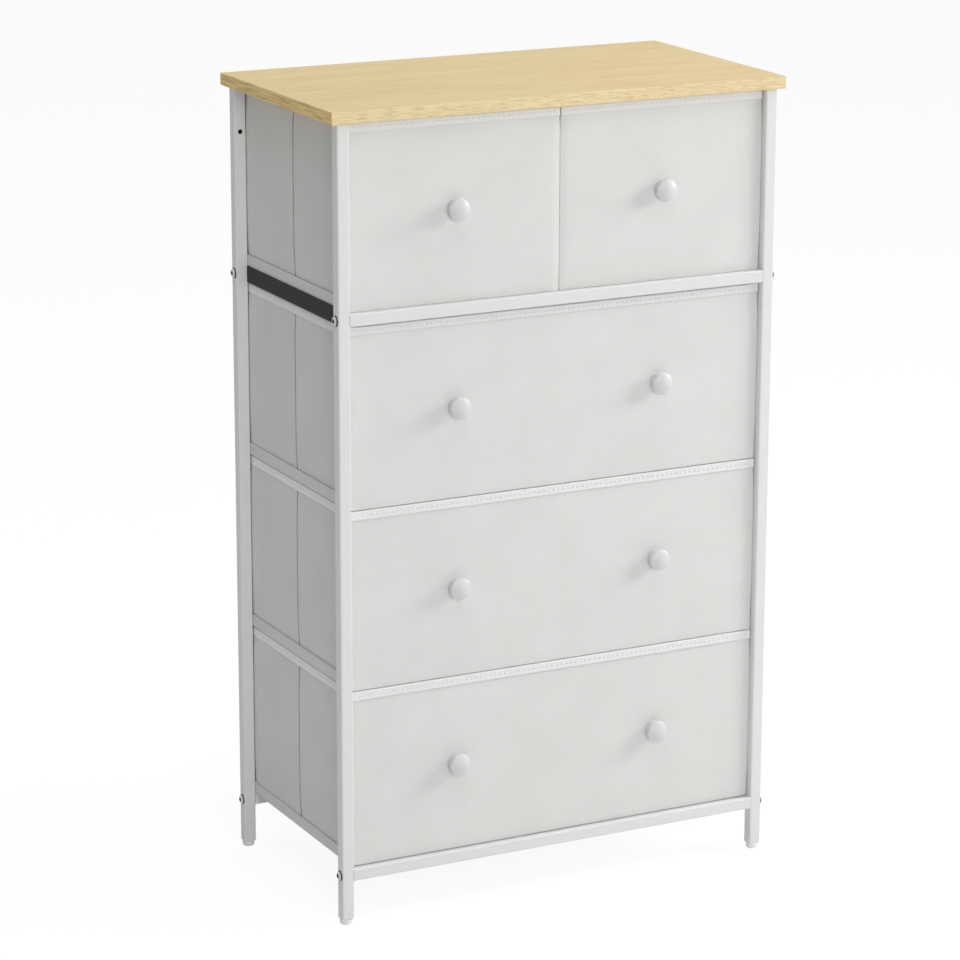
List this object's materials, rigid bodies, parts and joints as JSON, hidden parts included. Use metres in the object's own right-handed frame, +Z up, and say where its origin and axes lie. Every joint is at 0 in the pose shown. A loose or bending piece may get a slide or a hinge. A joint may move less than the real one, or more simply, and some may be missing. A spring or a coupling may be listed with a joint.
{
  "type": "fabric drawer dresser",
  "caption": "Tall dresser: a bolted steel tube frame with a wood-look board top and fabric drawers that slide on angle runners and open by round knobs.",
  "frame": {"origin": "on the floor, under the middle of the whole dresser's bounding box", "axes": "+Z up; the drawers and knobs face -Y; +X to the right seen from the front"},
  "size_m": [0.6, 0.324, 0.986],
  "materials": {
    "board_top": "pale maple wood-look board, satin",
    "white_steel": "white powder coat, fine satin texture",
    "bolt_steel": "nickel plated, satin",
    "divider_board": "dark grey faced board",
    "drawer_fabric": "pale grey non-woven cloth",
    "hem_tape": "woven binding tape, pale grey",
    "stiffener_board": "plain hardboard",
    "knob_plastic": "white moulded plastic, soft gloss",
    "foot_plastic": "white moulded plastic, matt",
    "insert_plastic": "black moulded plastic"
  },
  "bodies": {
    "frame": {"top_board": "board_top", "left_front_post": "white_steel", "right_front_post": "white_steel", "left_rear_post": "white_steel", "right_rear_post": "white_steel", "front_lower_rail": "white_steel", "rear_lower_rail": "white_steel", "front_upper_rail": "white_steel", "rear_upper_rail": "white_steel", "left_lower_runner": "white_steel", "right_lower_runner": "white_steel", "left_middle_runner": "white_steel", "right_middle_runner": "white_steel", "left_upper_runner": "white_steel", "right_upper_runner": "white_steel", "left_top_runner": "white_steel", "right_top_runner": "white_steel", "divider_panel": "divider_board", "frame_bolts": "bolt_steel", "top_screws": "bolt_steel", "foot_inserts": "insert_plastic"},
    "left_front_foot": {"left_front_foot": "foot_plastic"},
    "right_front_foot": {"right_front_foot": "foot_plastic"},
    "left_rear_foot": {"left_rear_foot": "foot_plastic"},
    "right_rear_foot": {"right_rear_foot": "foot_plastic"},
    "left_small_drawer": {"left_small_drawer_bag": "drawer_fabric", "left_small_drawer_hem": "hem_tape", "left_small_drawer_front_board": "stiffener_board", "left_small_drawer_wall_boards": "stiffener_board", "left_small_drawer_floor_board": "stiffener_board", "left_small_drawer_knobs": "knob_plastic", "left_small_drawer_knob_screws": "bolt_steel"},
    "right_small_drawer": {"right_small_drawer_bag": "drawer_fabric", "right_small_drawer_hem": "hem_tape", "right_small_drawer_front_board": "stiffener_board", "right_small_drawer_wall_boards": "stiffener_board", "right_small_drawer_floor_board": "stiffener_board", "right_small_drawer_knobs": "knob_plastic", "right_small_drawer_knob_screws": "bolt_steel"},
    "upper_wide_drawer": {"upper_wide_drawer_bag": "drawer_fabric", "upper_wide_drawer_hem": "hem_tape", "upper_wide_drawer_front_board": "stiffener_board", "upper_wide_drawer_wall_boards": "stiffener_board", "upper_wide_drawer_floor_board": "stiffener_board", "upper_wide_drawer_knobs": "knob_plastic", "upper_wide_drawer_knob_screws": "bolt_steel"},
    "middle_wide_drawer": {"middle_wide_drawer_bag": "drawer_fabric", "middle_wide_drawer_hem": "hem_tape", "middle_wide_drawer_front_board": "stiffener_board", "middle_wide_drawer_wall_boards": "stiffener_board", "middle_wide_drawer_floor_board": "stiffener_board", "middle_wide_drawer_knobs": "knob_plastic", "middle_wide_drawer_knob_screws": "bolt_steel"},
    "lower_wide_drawer": {"lower_wide_drawer_bag": "drawer_fabric", "lower_wide_drawer_hem": "hem_tape", "lower_wide_drawer_front_board": "stiffener_board", "lower_wide_drawer_wall_boards": "stiffener_board", "lower_wide_drawer_floor_board": "stiffener_board", "lower_wide_drawer_knobs": "knob_plastic", "lower_wide_drawer_knob_screws": "bolt_steel"}
  },
  "joints": [
    {"name": "left_front_foot_level", "type": "slide", "parent": "frame", "child": "left_front_foot", "axis": [0, 0, -1], "range_m": [0, 0.008]},
    {"name": "right_front_foot_level", "type": "slide", "parent": "frame", "child": "right_front_foot", "axis": [0, 0, -1], "range_m": [0, 0.008]},
    {"name": "left_rear_foot_level", "type": "slide", "parent": "frame", "child": "left_rear_foot", "axis": [0, 0, -1], "range_m": [0, 0.008]},
    {"name": "right_rear_foot_level", "type": "slide", "parent": "frame", "child": "right_rear_foot", "axis": [0, 0, -1], "range_m": [0, 0.008]},
    {"name": "left_small_drawer_slide", "type": "slide", "parent": "frame", "child": "left_small_drawer", "axis": [0, -1, 0], "range_m": [0, 0.22]},
    {"name": "right_small_drawer_slide", "type": "slide", "parent": "frame", "child": "right_small_drawer", "axis": [0, -1, 0], "range_m": [0, 0.22]},
    {"name": "upper_wide_drawer_slide", "type": "slide", "parent": "frame", "child": "upper_wide_drawer", "axis": [0, -1, 0], "range_m": [0, 0.22]},
    {"name": "middle_wide_drawer_slide", "type": "slide", "parent": "frame", "child": "middle_wide_drawer", "axis": [0, -1, 0], "range_m": [0, 0.22]},
    {"name": "lower_wide_drawer_slide", "type": "slide", "parent": "frame", "child": "lower_wide_drawer", "axis": [0, -1, 0], "range_m": [0, 0.22]}
  ]
}
